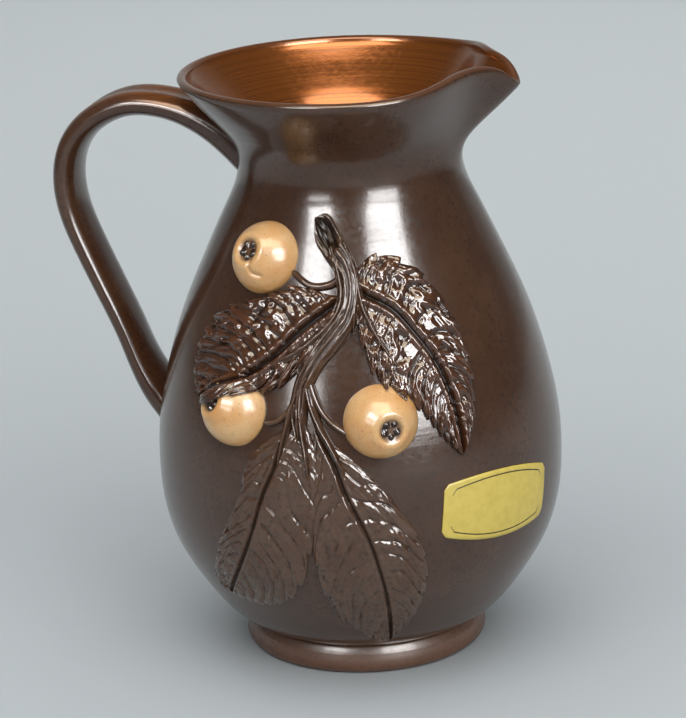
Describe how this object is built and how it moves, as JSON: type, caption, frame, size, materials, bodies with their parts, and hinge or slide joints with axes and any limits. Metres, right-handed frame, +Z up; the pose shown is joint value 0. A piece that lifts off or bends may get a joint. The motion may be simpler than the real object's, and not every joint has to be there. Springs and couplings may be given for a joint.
{
  "type": "relief jug",
  "caption": "Brown glazed stoneware jug with a pulled lip, a grooved strap handle, a foot ring and an applied sprig of serrated leaves and round fruits.",
  "frame": {"origin": "centre of the foot ring's flat resting face", "axes": "+Z up along the thrown axis, +X towards the pouring lip, -X through the handle, -Y the decorated front"},
  "size_m": [0.168, 0.1378, 0.1996],
  "materials": {
    "brown_glaze": "gloss",
    "relief_glaze": "gloss",
    "leaf_glaze": "gloss",
    "fruit_glaze": "gloss",
    "calyx_glaze": "gloss",
    "yellow_paper": "matte"
  },
  "bodies": {
    "root": {"body": "brown_glaze", "foot_ring": "brown_glaze", "handle": "brown_glaze", "twig": "relief_glaze", "stalk_upper": "relief_glaze", "stalk_left": "relief_glaze", "stalk_right": "relief_glaze", "leaf_upper_right": "leaf_glaze", "leaf_upper_left": "leaf_glaze", "leaf_lower_left": "leaf_glaze", "leaf_lower_right": "leaf_glaze", "fruit_upper": "fruit_glaze", "fruit_left": "fruit_glaze", "fruit_right": "fruit_glaze", "calyx_upper": "calyx_glaze", "calyx_left": "calyx_glaze", "calyx_right": "calyx_glaze", "label": "yellow_paper"}
  },
  "joints": []
}
